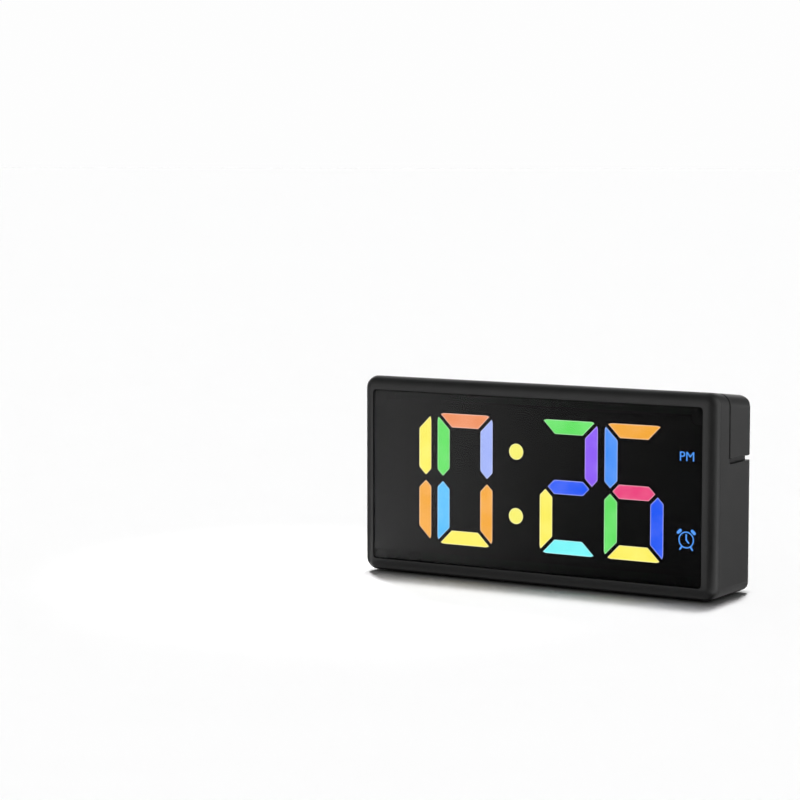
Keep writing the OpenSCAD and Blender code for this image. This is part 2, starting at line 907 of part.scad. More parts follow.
// Opening in the neck for a catch leg
module catch_hole(x, top) {
    front = guide_y - catch_t / 2 - bar_fit;
    back = guide_y + catch_t / 2 + catch_room;
    bar(x, catch_w + 2 * bar_fit, [front, back], [top - 8, case_h]);
}

// Opening in the neck for the stem that presses the snooze switch
module stem_hole() {
    reach = stem_t / 2 + stem_room;
    bar(0, stem_w + 2 * stem_room, [snooze_y - reach, snooze_y + reach], [neck_z(snooze_y) - 6, case_h]);
}

module foot_places() {
    for (s = [-1, 1], y = [edge_r + foot_r + 1.5, case_d - foot_r - 2.5]) {
        translate([s * (case_w / 2 - foot_inset), y, 0]) children();
    }
}

// Ring of sound holes in front of the buzzer
module sound_holes(n, pitch) {
    for (i = [1:n]) {
        a = 360 * i / n;
        rod(-buzzer_x + pitch * cos(a), buzzer_z + pitch * sin(a), 0.8, inner_back - 1, case_d + 1);
    }
}

module rear_housing() {
    recess_w = (button_count - 1) * button_pitch + button_w + 4;
    recess_h = button_h + 5;
    hole_w = button_w + 2 * button_fit;
    hole_h = button_h + 2 * button_fit;
    inlet_fit = 0.25;
    in_wall = inner_back + wall / 2;
    from = inner_back - 1;
    to = case_d + 1;
    top = neck_z(guide_y);
    bore_r = screw_r + pin_fit;
    floor_front = cup_floor - cup_floor_t - 1;
    leg_low = cell_z - contact_h / 2;
    side_x = cell_r + contact_t / 2;
    leg_slot = [leg_low - contact_fit, leg_low + contact_t + contact_fit];
    side_slot = [cell_z - contact_side / 2 - contact_fit, cell_z + contact_side / 2 + contact_fit];
    color(black) in_case() difference() {
        union() {
            housing_shell();
            for (s = [-1, 1]) {
                spring_well(s * spring_x);
                hook_rib(s * hook_x);
                rod(s * case_screw_x, post_low, tower_r, tower_front, in_wall);
                for (p = [boss_low, boss_high]) rod(s * p[0], p[1], boss_r, main_back, in_wall);
            }
            rod(0, cell_z, groove_r + cup_wall, groove_front - cup_wall, in_wall);
            rod(0, cell_z, cup_r + cup_wall, cup_floor - cup_floor_t, inner_back);
        }
        for (s = [-1, 1]) {
            pillar(s * spring_x, guide_y, well_r, top - well_depth, case_h);
            rod(s * case_screw_x, post_low, tower_bore_r, tower_seat, to);
            rod(s * case_screw_x, post_low, case_screw_r + pin_fit, tower_front - 1, tower_seat + 1);
            for (p = [boss_low, boss_high]) rod(s * p[0], p[1], bore_r, main_back - 1, inner_back - 0.6);
            catch_hole(s * catch_x, top);
        }
        stem_hole();
        pill_plate(0, button_z, recess_w, recess_h, recess_floor, to);
        for (i = [0:button_count - 1]) pill_plate(button_x(i), button_z, hole_w, hole_h, from, to);
        pill_plate(inlet_x, inlet_z, inlet_w + 2 * inlet_fit, inlet_h + 2 * inlet_fit, from, to);
        sound_holes(1, 0);
        sound_holes(6, 3);
        sound_holes(12, 6);
        rod(0, cell_z, cup_r, cup_floor, to);
        rod(0, cell_z, ring_r + cover_fit, groove_front, to);
        rod(0, cell_z, groove_r, groove_front, ledge_front);
        rod(0, cell_z, cover_r + cover_fit, cover_under - touch_gap, to);
        ring_parts(cup_r, groove_r, lug_angle + 6, -lock_angle, ledge_front - 1, case_d);
        bar(0, contact_leg + 2 * contact_fit, [floor_front, cup_floor + 1], leg_slot);
        bar(side_x, contact_t + 2 * contact_fit, [floor_front, groove_front + touch_gap], side_slot);
        foot_places() translate([0, 0, -1]) cylinder(r = foot_r + pin_fit, h = foot_pocket + 1);
    }
}

module battery_cover() {
    slot_depth = 0.9;
    ring_front = ledge_front - touch_gap - lug_t;
    color("#29292b") in_case() {
        difference() {
            rod(0, cell_z, cover_r, cover_under, cover_back);
            pill_plate(0, cell_z, cover_r * 1.2, coin_slot_w, cover_back - slot_depth, cover_back + 1);
        }
        difference() {
            rod(0, cell_z, ring_r, ring_front, cover_under);
            rod(0, cell_z, cup_r, ring_front - 1, cover_under);
        }
        ring_parts(ring_r - 0.1, ring_r + lug, lug_angle, 0, ring_front, ring_front + lug_t);
    }
}

module set_button(i) {
    crown = recess_floor + button_proud;
    round = 0.5;
    color("#303033") in_case() {
        pill_plate(button_x(i), button_z, button_w + 1.4, button_h + 1.4, button_front, button_seat);
        pill_plate(button_x(i), button_z, button_w, button_h, button_seat, crown - round);
        pill_plate(button_x(i), button_z, button_w - round, button_h - round, crown - round, crown);
    }
}

module time_button() {
    set_button(0);
}

module alarm_button() {
    set_button(1);
}

module plus_button() {
    set_button(2);
}

module minus_button() {
    set_button(3);
}

module dimmer_button() {
    set_button(4);
}

module snooze_bar() {
    stem_low = snooze_top + bar_travel + press_gap;
    boss_low_z = neck_z(guide_y) + bar_travel + boss_room;
    leg_depths = [guide_y - catch_t / 2, guide_y + catch_t / 2];
    leg_low = neck_z(guide_y) - neck_wall - catch_l;
    barb_y = guide_y + catch_t / 2 + catch_barb;
    barb_top = neck_z(barb_y) - neck_wall / slope_cos - catch_gap;
    color(black) in_case() {
        difference() {
            intersection() {
                case_outer();
                rear_top(bar_front, bar_low, seam_r * 0.8);
            }
            case_form(bar_wall, bar_top / slope_cos, 0, case_d - bar_wall);
        }
        intersection() {
            union() {
                bar(0, stem_w, [snooze_y - stem_t / 2, snooze_y + stem_t / 2], [stem_low, case_h]);
                for (s = [-1, 1]) {
                    pillar(s * spring_x, guide_y, spring_boss_r, boss_low_z, case_h);
                    pillar(s * spring_x, guide_y, spring_post_r, boss_low_z - spring_post_l, case_h);
                    bar(s * catch_x, catch_w, leg_depths, [leg_low, case_h]);
                    bar(s * catch_x, catch_w, [guide_y, barb_y], [leg_low, barb_top]);
                }
            }
            case_form(bar_wall, bar_top / slope_cos / 2, 0, case_d - bar_wall);
        }
    }
}

// Tube swept along a helix, as one closed surface
module helix(turns, r, wire_r, height) {
    rings = turns * 10;
    sides = 8;
    points = [
        for (i = [0:rings], j = [0:sides - 1])
            let (a = 360 * turns * i / rings, b = 360 * j / sides, q = r + wire_r * cos(b))
                [q * cos(a), q * sin(a), height * i / rings + wire_r * sin(b)]
    ];
    walls = [
        for (i = [0:rings - 1], j = [0:sides - 1])
            let (k = (j + 1) % sides, p = i * sides, n = p + sides)
                each [[p + j, n + j, p + k], [p + k, n + j, n + k]]
    ];
    start = [for (j = [1:sides - 2]) [0, j, j + 1]];
    end = [for (j = [1:sides - 2]) [rings * sides, rings * sides + j + 1, rings * sides + j]];
    polyhedron(points, concat(walls, start, end));
}

module snooze_springs() {
    low = neck_z(guide_y) - well_depth + spring_wire_r;
    high = neck_z(guide_y) + bar_travel + boss_room - spring_wire_r;
    color(metal) in_case() for (s = [-1, 1]) {
        translate([s * spring_x, guide_y, low])
            helix(spring_turns, spring_r - spring_wire_r, spring_wire_r, high - low);
    }
}

module rubber_feet() {
    color("#1a1a1a") in_case() foot_places()
        translate([0, 0, -foot_proud]) cylinder(r = foot_r, h = foot_pocket + foot_proud);
}

module case_screws() {
    screw_tip = bore_front + 2 * tip_room;
    color(metal) in_case() for (s = [-1, 1]) {
        screw(s * case_screw_x, post_low, case_screw_r, case_head_r, case_head_t, tower_seat, screw_tip);
    }
}

front_bezel();
front_lens();
lens_tape();
display_block();
hour_tens_segments();
hour_units_segments();
colon_dots();
minute_tens_segments();
minute_units_segments();
status_windows();
display_board();
display_leds();
display_screws();
header_pins();
header_socket();
main_board();
controller_chip();
tact_switches();
snooze_switch();
buzzer();
power_socket();
cell_contacts();
backup_cell();
board_screws();
rear_housing();
battery_cover();
time_button();
alarm_button();
plus_button();
minus_button();
dimmer_button();
snooze_bar();
snooze_springs();
rubber_feet();
case_screws();
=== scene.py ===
import math
import bpy
import bmesh
from mathutils import Matrix, Vector


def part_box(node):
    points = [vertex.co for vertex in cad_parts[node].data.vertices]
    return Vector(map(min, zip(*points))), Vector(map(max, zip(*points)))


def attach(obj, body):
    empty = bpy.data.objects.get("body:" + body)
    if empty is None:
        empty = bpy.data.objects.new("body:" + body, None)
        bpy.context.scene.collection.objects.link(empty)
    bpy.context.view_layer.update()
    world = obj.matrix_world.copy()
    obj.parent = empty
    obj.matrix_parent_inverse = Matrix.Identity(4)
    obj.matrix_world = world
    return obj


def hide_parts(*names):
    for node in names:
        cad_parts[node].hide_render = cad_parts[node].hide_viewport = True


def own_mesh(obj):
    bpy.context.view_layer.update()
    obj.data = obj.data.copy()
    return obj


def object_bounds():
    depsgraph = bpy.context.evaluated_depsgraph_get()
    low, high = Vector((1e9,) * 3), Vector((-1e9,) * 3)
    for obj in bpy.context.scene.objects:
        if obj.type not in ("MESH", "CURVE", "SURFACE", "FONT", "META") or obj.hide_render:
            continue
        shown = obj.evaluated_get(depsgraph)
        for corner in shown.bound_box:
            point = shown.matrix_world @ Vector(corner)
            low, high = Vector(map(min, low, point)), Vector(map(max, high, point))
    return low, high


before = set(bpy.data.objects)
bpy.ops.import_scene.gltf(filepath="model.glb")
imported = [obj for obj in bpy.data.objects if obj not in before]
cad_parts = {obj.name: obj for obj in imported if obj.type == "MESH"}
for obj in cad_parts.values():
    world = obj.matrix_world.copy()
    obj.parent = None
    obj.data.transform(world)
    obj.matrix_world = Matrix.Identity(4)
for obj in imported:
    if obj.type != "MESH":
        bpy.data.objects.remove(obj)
cad_low, cad_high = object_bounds()

MM = 0.001
MERGE = 1e-7
TINY = 1e-9
RIGHT_ANGLE = math.radians(90)
FLAT_ANGLE = math.radians(0.3)
SHARP_ANGLE = math.radians(28)
CREASE_ANGLE = math.radians(40)


# Colours
def from_screen(red, green, blue):
    """Linear colour of a screen colour with parts from 0 to 255."""
    parts = []
    for part in (red, green, blue):
        share = part / 255
        parts.append(share / 12.92 if share <= 0.04045 else ((share + 0.055) / 1.055) ** 2.4)
    return (*parts, 1.0)


def mixed(colour, other, share):
    """Colour part of the way towards another."""
    return (*(a + (b - a) * share for a, b in zip(colour[:3], other[:3])), 1.0)


def grey(level):
    """Neutral linear colour."""
    return (level, level, level, 1.0)


BLACK = grey(0.0)
WHITE = grey(1.0)


# Nodes of materials
def new_material(name):
    """Material with an empty Principled shader, its node tree and its Object coordinates."""
    material = bpy.data.materials.new(name)
    material.use_nodes = True
    tree = material.node_tree
    shader = tree.nodes["Principled BSDF"]
    place = tree.nodes.new("ShaderNodeTexCoord")
    return material, tree, shader, place.outputs["Object"]


def set_inputs(node, values):
    """Sets constants on a node's sockets."""
    for socket, value in values.items():
        node.inputs[socket].default_value = value


def noise(tree, place, size_mm, detail=2.0, stretch=(1, 1, 1)):
    """Noise whose blotches have a size in millimetres."""
    mapping = tree.nodes.new("ShaderNodeMapping")
    set_inputs(mapping, {"Scale": stretch})
    tree.links.new(place, mapping.inputs["Vector"])
    texture = tree.nodes.new("ShaderNodeTexNoise")
    set_inputs(texture, {"Scale": 1 / (size_mm * MM), "Detail": detail})
    tree.links.new(mapping.outputs["Vector"], texture.inputs["Vector"])
    return texture.outputs["Fac"]


def colour_stops(tree, factor, stops):
    """Colours read from a factor, between stops that each have a position and a colour."""
    node = tree.nodes.new("ShaderNodeValToRGB")
    elements = node.color_ramp.elements
    while len(elements) < len(stops):
        elements.new(0.5)
    for element, (position, colour) in zip(elements, stops):
        element.position = position
        element.color = colour
    tree.links.new(factor, node.inputs["Fac"])
    return node.outputs["Color"]


def ramp(tree, factor, low_colour, high_colour, start=0.3, end=0.7):
    """Colours between two ends, read from a factor."""
    return colour_stops(tree, factor, ((start, low_colour), (end, high_colour)))


def map_range(tree, value, ends, low, high):
    """Node that runs from low to high while a value runs between two ends."""
    node = tree.nodes.new("ShaderNodeMapRange")
    set_inputs(node, {"From Min": ends[0], "From Max": ends[1], "To Min": low, "To Max": high})
    tree.links.new(value, node.inputs["Value"])
    return node


NOISE_ENDS = (0.25, 0.75)


def ranged(tree, factor, low, high):
    """Numbers between two ends, read from a noise factor."""
    return map_range(tree, factor, NOISE_ENDS, low, high).outputs["Result"]


def bump(tree, shader, height, depth_mm, strength):
    """Relief of a depth in millimetres on the shader's normal."""
    node = tree.nodes.new("ShaderNodeBump")
    set_inputs(node, {"Distance": depth_mm * MM, "Strength": strength})
    tree.links.new(height, node.inputs["Height"])
    tree.links.new(node.outputs["Normal"], shader.inputs["Normal"])


# Finishes
CLOUD_MM = 9.0
CLOUD_DARKER = 0.14
CLOUD_PALER = 0.003
GRAIN_STRENGTH = 0.3
ROUGHNESS_SPREAD = 0.05
LINE_MM = 0.25
LINE_DARKER = 0.2
LINE_DEPTH_MM = 0.004
LINE_STRENGTH = 0.2
LINE_SPREAD = (-0.06, 0.08)
PATCH_MM = 6.0
PATCH_SPREAD = 0.05
UNLIT_DARKER = 0.7
WINDOW_ALPHA = 0.6
WINDOW_SPECULAR = 0.74
WINDOW_TONE = 0.004
WINDOW_ROUGHNESS = (0.24, 0.3)
HAZE_MM = 0.35
HAZE_DEPTH_MM = 0.002
HAZE_STRENGTH = 0.15
MASK_GREEN = (0.006, 0.06, 0.03, 1)
TRACK_GREEN = (0.012, 0.11, 0.05, 1)
TRACK_MM = 2.2
TRACK_EDGE = (0.48, 0.52)
TRACK_DEPTH_MM = 0.03
TRACK_STRENGTH = 0.4


def moulded(name, tone, roughness, grain_mm, depth_mm, specular=0.5):
    """Moulded plastic or rubber with a spark-eroded grain and a faint cloudiness."""
    material, tree, shader, place = new_material(name)
    clouds = noise(tree, place, CLOUD_MM, detail=3.0)
    base = ramp(tree, clouds, mixed(tone, BLACK, CLOUD_DARKER), mixed(tone, WHITE, CLOUD_PALER))
    tree.links.new(base, shader.inputs["Base Color"])
    grain = noise(tree, place, grain_mm)
    matt = ranged(tree, grain, roughness - ROUGHNESS_SPREAD, roughness + ROUGHNESS_SPREAD)
    tree.links.new(matt, shader.inputs["Roughness"])
    bump(tree, shader, grain, depth_mm, GRAIN_STRENGTH)
    set_inputs(shader, {"Specular IOR Level": specular})
    return material


def plated(name, tone, roughness, stretch):
    """Plated or drawn metal with fine lines along one direction."""
    material, tree, shader, place = new_material(name)
    lines = noise(tree, place, LINE_MM, detail=3.0, stretch=stretch)
    base = ramp(tree, lines, mixed(tone, BLACK, LINE_DARKER), tone)
    tree.links.new(base, shader.inputs["Base Color"])
    matt = ranged(tree, lines, roughness + LINE_SPREAD[0], roughness + LINE_SPREAD[1])
    tree.links.new(matt, shader.inputs["Roughness"])
    bump(tree, shader, lines, LINE_DEPTH_MM, LINE_STRENGTH)
    set_inputs(shader, {"Metallic": 1.0})
    return material


def glowing(name, colour, strength):
    """Lit translucent insert, a little uneven as over a small lamp."""
    material, tree, shader, place = new_material(name)
    patches = noise(tree, place, PATCH_MM, detail=1.0)
    light = ramp(tree, patches, mixed(colour, BLACK, PATCH_SPREAD), mixed(colour, WHITE, PATCH_SPREAD))
    tree.links.new(light, shader.inputs["Emission Color"])
    unlit = mixed(colour, BLACK, UNLIT_DARKER)
    set_inputs(shader, {"Emission Strength": strength, "Base Color": unlit, "Roughness": 0.5})
    return material


def smoked(name):
    """Satin smoked window: nearly black, with the lit bars showing through."""
    material, tree, shader, place = new_material(name)
    haze = noise(tree, place, HAZE_MM)
    tree.links.new(ranged(tree, haze, *WINDOW_ROUGHNESS), shader.inputs["Roughness"])
    bump(tree, shader, haze, HAZE_DEPTH_MM, HAZE_STRENGTH)
    set_inputs(
        shader,
        {"Base Color": grey(WINDOW_TONE), "Specular IOR Level": WINDOW_SPECULAR, "Alpha": WINDOW_ALPHA},
    )
    return material


def circuit(name):
    """Green solder mask over faint copper tracks."""
    material, tree, shader, place = new_material(name)
    tracks = noise(tree, place, TRACK_MM, detail=0.0, stretch=(1, 1, 0.25))
    base = ramp(tree, tracks, MASK_GREEN, TRACK_GREEN, *TRACK_EDGE)
    tree.links.new(base, shader.inputs["Base Color"])
    bump(tree, shader, tracks, TRACK_DEPTH_MM, TRACK_STRENGTH)
    set_inputs(shader, {"Roughness": 0.35})
    return material


case_black = moulded("case_black", grey(0.008), 0.4, 0.28, 0.02)
button_black = moulded("button_black", grey(0.016), 0.38, 0.2, 0.012)
cover_black = moulded("cover_black", grey(0.013), 0.44, 0.28, 0.02)
block_black = moulded("block_black", grey(0.004), 0.7, 0.3, 0.02, specular=0.2)
adhesive = moulded("adhesive", grey(0.01), 0.6, 0.4, 0.02)
black_moulding = moulded("black_moulding", grey(0.012), 0.4, 0.3, 0.01)
led_ivory = moulded("led_ivory", (0.75, 0.7, 0.5, 1), 0.35, 0.3, 0.01)
print_grey = moulded("print_grey", grey(0.4), 0.5, 0.2, 0.005)
foot_rubber = moulded("foot_rubber", grey(0.009), 0.75, 0.35, 0.03, specular=0.3)
unlit_bar = moulded("unlit_bar", grey(0.006), 0.6, 0.3, 0.01, specular=0.2)
plated_steel = plated("plated_steel", (0.62, 0.62, 0.64, 1), 0.32, (1, 0.1, 1))
spring_wire = plated("spring_wire", (0.6, 0.6, 0.62, 1), 0.28, (1, 1, 0.1))
socket_plating = plated("socket_plating", (0.68, 0.68, 0.7, 1), 0.3, (1, 0.1, 1))
contact_strip = plated("contact_strip", (0.7, 0.66, 0.55, 1), 0.3, (1, 0.2, 1))
cell_steel = plated("cell_steel", (0.7, 0.7, 0.72, 1), 0.25, (1, 0.2, 0.1))
board_green = circuit("board_green")
smoked_window = smoked("smoked_window")

# Lights of the display, which shine through both faces of the window
GLOW = 1 / (1 - WINDOW_ALPHA) ** 2
RIM_PALER = 0.28
BAR_COLOURS = {
    "yellow": from_screen(255, 243, 100),
    "amber": from_screen(246, 172, 58),
    "salmon": from_screen(240, 148, 98),
    "green": from_screen(102, 228, 102),
    "lavender": from_screen(164, 182, 250),
    "sky": from_screen(90, 195, 255),
    "violet": from_screen(145, 95, 250),
    "blue": from_screen(32, 90, 248),
    "cyan": from_screen(120, 248, 250),
    "azure": from_screen(64, 145, 250),
    "pink": from_screen(236, 64, 126),
    "sign": from_screen(78, 158, 255),
    "dot": from_screen(250, 244, 112),
}
bar_light = {name: glowing("lit_" + name, colour, GLOW) for name, colour in BAR_COLOURS.items()}
rim_light = {
    name: glowing("rim_" + name, mixed(colour, WHITE, RIM_PALER), GLOW)
    for name, colour in BAR_COLOURS.items()
}


# Mesh helpers
def merged(node):
    """Copy of a node's mesh with its points merged and its flat faces joined."""
    bm = bmesh.new()
    bm.from_mesh(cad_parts[node].data)
    bmesh.ops.remove_doubles(bm, verts=bm.verts[:], dist=MERGE)
    bmesh.ops.dissolve_limit(bm, angle_limit=FLAT_ANGLE, verts=bm.verts[:], edges=bm.edges[:])
    return bm


def soften(bm, width_mm, wanted=None, segments=3):
    """Rounds the sharp edges whose middles are wanted."""
    edges = []
    for edge in bm.edges:
        if not edge.is_manifold or edge.calc_face_angle(0) < SHARP_ANGLE:
            continue
        middle = (edge.verts[0].co + edge.verts[1].co) / 2
        if wanted is None or wanted(middle):
            edges.append(edge)
    bmesh.ops.bevel(
        bm, geom=edges, offset=width_mm * MM, offset_type="OFFSET", segments=segments, profile=0.5,
        affect="EDGES", material=-1, clamp_overlap=False, loop_slide=True,
    )
    bmesh.ops.dissolve_degenerate(bm, dist=MERGE, edges=bm.edges[:])


def piece(name, bm, materials, body, replaces=(), even=True):
    """Object made of a mesh, with smooth faces and its place in the frame."""
    mesh = bpy.data.meshes.new(name)
    bm.to_mesh(mesh)
    bm.free()
    for material in materials:
        mesh.materials.append(material)
    mesh.shade_smooth()
    mesh.set_sharp_from_angle(angle=CREASE_ANGLE)
    obj = bpy.data.objects.new(name, mesh)
    bpy.context.scene.collection.objects.link(obj)
    if even:
        normals = obj.modifiers.new("even_normals", "WEIGHTED_NORMAL")
        normals.keep_sharp = True
    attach(obj, body)
    if replaces:
        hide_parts(*replaces)
    return obj


# Case shells
SIDE_X = cad_high.x
FRONT_Y = cad_low.y
REAR_Y = cad_high.y
PARTING_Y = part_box("rear_housing")[0].y
BASE_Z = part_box("rear_housing")[0].z
TOP_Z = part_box("rear_housing")[1].z
CORNER = 5.0 * MM
SKIN = 1.3 * MM
NEAR = 0.1 * MM
FRONT_BAND = 0.9 * MM
PARTING_BAND = 0.6 * MM
TOP_FALL = math.tan(math.radians(6.25))
ROUNDING_MM = {
    "front_frame": 0.15, "parting": 0.5, "housing": 0.2, "snooze_cap": 0.55, "window": 0.45, "button": 0.18,
    "twist_cover": 0.2, "feet": 0.25, "rear_screws": 0.1,
}


def on_skin(point):
    """True on the outside of the case and on what is sunk just below it."""
    top = TOP_Z - max(point.y - PARTING_Y, 0) * TOP_FALL
    across = max(abs(point.x) - (SIDE_X - CORNER), 0)
    above = max(point.z - (top - CORNER), BASE_Z + CORNER - point.z, 0)
    return CORNER - math.hypot(across, above) < SKIN or REAR_Y - point.y < SKIN


def at_parting(point):
    """True on the outer edge of the housing where the front frame meets it."""
    return on_skin(point) and abs(point.y - PARTING_Y) < NEAR


def behind_parting(point):
    """True on the outside of the housing, away from its parting edge."""
    return on_skin(point) and point.y - PARTING_Y > PARTING_BAND


def on_frame(point):
    """True at the front of the front frame and at its parting edge."""
    return point.y < FRONT_Y + FRONT_BAND or abs(point.y - PARTING_Y) < NEAR


bezel = merged("front_bezel")
soften(bezel, ROUNDING_MM["front_frame"], on_frame)
front_frame = piece("front_frame", bezel, [case_black], "clock", ["front_bezel"])

shell = merged("rear_housing")
soften(shell, ROUNDING_MM["parting"], at_parting, segments=1)
soften(shell, ROUNDING_MM["housing"], behind_parting)
for vert in shell.verts:
    vert.co.y = min(vert.co.y, REAR_Y)
housing = piece("housing", shell, [case_black], "clock", ["rear_housing"])

cap = merged("snooze_bar")
soften(cap, ROUNDING_MM["snooze_cap"], on_skin, segments=4)
snooze_cap = piece("snooze_cap", cap, [case_black], "snooze", ["snooze_bar"])

window = merged("front_lens")
window_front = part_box("front_lens")[0].y
soften(window, ROUNDING_MM["window"], lambda point: point.y < window_front + NEAR)
piece("window", window, [smoked_window], "clock", ["front_lens"])

# Set buttons, twist cover, feet and screws
BUTTONS = ("time", "alarm", "plus", "minus", "dimmer")
for key in BUTTONS:
    cap = merged(key + "_button")
    soften(cap, ROUNDING_MM["button"])
    piece(key + "_cap", cap, [button_black], key + "_key", [key + "_button"])

cover = merged("battery_cover")
soften(cover, ROUNDING_MM["twist_cover"], lambda point: point.y > REAR_Y - SKIN)
piece("twist_cover", cover, [cover_black], "cover", ["battery_cover"])

feet = merged("rubber_feet")
soften(feet, ROUNDING_MM["feet"])
piece("feet", feet, [foot_rubber], "clock", ["rubber_feet"])

screws = merged("case_screws")
soften(screws, ROUNDING_MM["rear_screws"])
piece("rear_screws", screws, [plated_steel], "clock", ["case_screws"])

# Digits: place of each bar across and up its digit, and the colour of each lit bar
BAR_PLACES = {
    "top": (0.5, 0.95), "upper_right": (0.88, 0.74), "lower_right": (0.88, 0.26), "bottom": (0.5, 0.05),
    "lower_left": (0.12, 0.26), "upper_left": (0.12, 0.74), "middle": (0.5, 0.5),
}
DIGITS = {
    "hour_tens": {"upper_right": "yellow", "lower_right": "amber"},
    "hour_units": {
        "top": "salmon", "upper_left": "green", "upper_right": "lavender",
        "lower_left": "sky", "lower_right": "amber", "bottom": "yellow",
    },
    "minute_tens": {
        "top": "green", "upper_right": "violet", "middle": "blue", "lower_left": "yellow", "bottom": "cyan",
    },
    "minute_units": {
        "top": "amber", "upper_left": "azure", "middle": "pink",
        "lower_left": "green", "lower_right": "blue", "bottom": "yellow",
    },
}
DARK_RIM_MM = 0.21
PALE_RIM_MM = 0.3
DOT_RIM_MM = 0.45
FRONT_NORMAL_Y = -0.9


def light_face(bm, face, index, dark_mm=DARK_RIM_MM):
    """Gives a face its colour, with a thin paler rim and a dark edge round it."""
    bmesh.ops.inset_individual(bm, faces=[face], thickness=dark_mm * MM, use_even_offset=True)
    face.material_index = index
    made = bmesh.ops.inset_individual(bm, faces=[face], thickness=PALE_RIM_MM * MM, use_even_offset=True)
    for rim in made["faces"]:
        rim.material_index = index + 1


def front_faces(bm):
    """Faces that look out of the clock's front."""
    return [face for face in bm.faces if face.normal.y < FRONT_NORMAL_Y]


def bar_at(face, low, high):
    """Name of the bar that a front face belongs to."""
    middle = face.calc_center_bounds()
    across = (middle.x - low.x) / (high.x - low.x)
    up = (middle.z - low.z) / (high.z - low.z)
    return min(BAR_PLACES, key=lambda bar: math.hypot(BAR_PLACES[bar][0] - across, BAR_PLACES[bar][1] - up))


for digit, lit in DIGITS.items():
    node = digit + "_segments"
    low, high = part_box(node)
    bm = merged(node)
    materials = [unlit_bar]
    for face in front_faces(bm):
        colour = lit.get(bar_at(face, low, high))
        if colour:
            light_face(bm, face, len(materials))
            materials += [bar_light[colour], rim_light[colour]]
    piece(digit + "_bars", bm, materials, "clock", [node], even=False)

dots = merged("colon_dots")
for face in front_faces(dots):
    light_face(dots, face, 1, DOT_RIM_MM)
dot_materials = [unlit_bar, bar_light["dot"], rim_light["dot"]]
piece("dots", dots, dot_materials, "clock", ["colon_dots"], even=False)

# Signs in the two status windows
sign_low, sign_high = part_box("status_windows")
SIGN_X = (sign_low.x + sign_high.x) / 2
SIGN_FACE = sign_low.y
SIGN_PROUD = 0.03 * MM
UPPER_DROP = 2.3 * MM
ALARM_RISE = 4.4 * MM
LETTER_HEIGHT = 5.2 * MM
STROKE_POINTS = 16
PLUS_ARM = 3.2
mask = merged("status_windows")
piece("sign_mask", mask, [unlit_bar], "clock", ["status_windows"], even=False)


def raised(bm, height):
    """Gives a flat shape in the XY plane a thickness towards +Z."""
    made = bmesh.ops.extrude_face_region(bm, geom=bm.faces[:])
    moved = [item for item in made["geom"] if isinstance(item, bmesh.types.BMVert)]
    bmesh.ops.translate(bm, verts=moved, vec=(0, 0, height))
    bmesh.ops.recalc_face_normals(bm, faces=bm.faces[:])


def flat_ring(bm, inner, outer, steps=48):
    """Ring in the XY plane, in millimetres."""
    ends = [bm.verts.new((inner * MM, 0, 0)), bm.verts.new((outer * MM, 0, 0))]
    edge = bm.edges.new(ends)
    bmesh.ops.spin(
        bm, geom=[*ends, edge], cent=(0, 0, 0), axis=(0, 0, 1), angle=math.tau, steps=steps,
        use_merge=True, use_duplicate=False,
    )


def flat_bar(bm, start, end, width):
    """Straight stroke with round ends in the XY plane, in millimetres."""
    start, end = Vector((*start, 0)), Vector((*end, 0))
    along = (end - start).normalized()
    turn = math.atan2(along.y, along.x)
    made = bmesh.ops.create_circle(bm, cap_ends=True, segments=STROKE_POINTS, radius=width / 2 * MM)
    verts = made["verts"]
    for vert in verts:
        if vert.co.x > TINY:
            vert.co.x += (end - start).length * MM
    bmesh.ops.rotate(bm, verts=verts, cent=(0, 0, 0), matrix=Matrix.Rotation(turn, 3, "Z"))
    bmesh.ops.translate(bm, verts=verts, vec=start * MM)


def polar(radius, degrees):
    """Point at a radius and an angle, in millimetres."""
    return (radius * math.cos(math.radians(degrees)), radius * math.sin(math.radians(degrees)))


def alarm_picture(bm):
    """Small alarm clock: ring, two bells, two feet and two hands."""
    bell_radius = 4.35
    bell_reach = 8
    flat_ring(bm, inner=2.8, outer=3.25)
    for turn in (47, 133):
        start, end = polar(bell_radius, turn - bell_reach), polar(bell_radius, turn + bell_reach)
        flat_bar(bm, start, end, width=1.25)
    for turn in (-55, -125):
        flat_bar(bm, polar(3.3, turn), polar(4.5, turn), width=0.7)
    flat_bar(bm, (0, 2.0), (0, 0), width=0.6)
    flat_bar(bm, (0, 0), (1.0, -1.1), width=0.6)


def time_picture(bm):
    """Dial with two hands."""
    flat_ring(bm, inner=3.0, outer=3.8)
    flat_bar(bm, (0, 2.2), (0, 0), width=0.7)
    flat_bar(bm, (0, 0), (1.6, 0), width=0.7)


def minus_picture(bm):
    """Minus sign."""
    flat_bar(bm, (-PLUS_ARM, 0), (PLUS_ARM, 0), width=1.0)


def plus_picture(bm):
    """Plus sign."""
    minus_picture(bm)
    flat_bar(bm, (0, -PLUS_ARM), (0, PLUS_ARM), width=1.0)


def dimmer_picture(bm):
    """Sun with eight rays."""
    flat_ring(bm, inner=0.05, outer=1.8)
    for turn in range(0, 360, 45):
        flat_bar(bm, polar(2.8, turn), polar(4.0, turn), width=0.8)


def lettering(words, height):
    """Flat mesh of words, centred on the origin in the XY plane, with a letter height in metres."""
    curve = bpy.data.curves.new("words", "FONT")
    curve.body = words
    curve.align_x = "CENTER"
    curve.align_y = "CENTER"
    curve.size = height
    holder = bpy.data.objects.new("words", curve)
    mesh = bpy.data.meshes.new_from_object(holder)
    bm = bmesh.new()
    bm.from_mesh(mesh)
    bpy.data.objects.remove(holder)
    bpy.data.curves.remove(curve)
    bpy.data.meshes.remove(mesh)
    return bm


FACING_FRONT = Matrix.Rotation(RIGHT_ANGLE, 4, "X")
FACING_REAR = Matrix.Rotation(2 * RIGHT_ANGLE, 4, "Z") @ FACING_FRONT


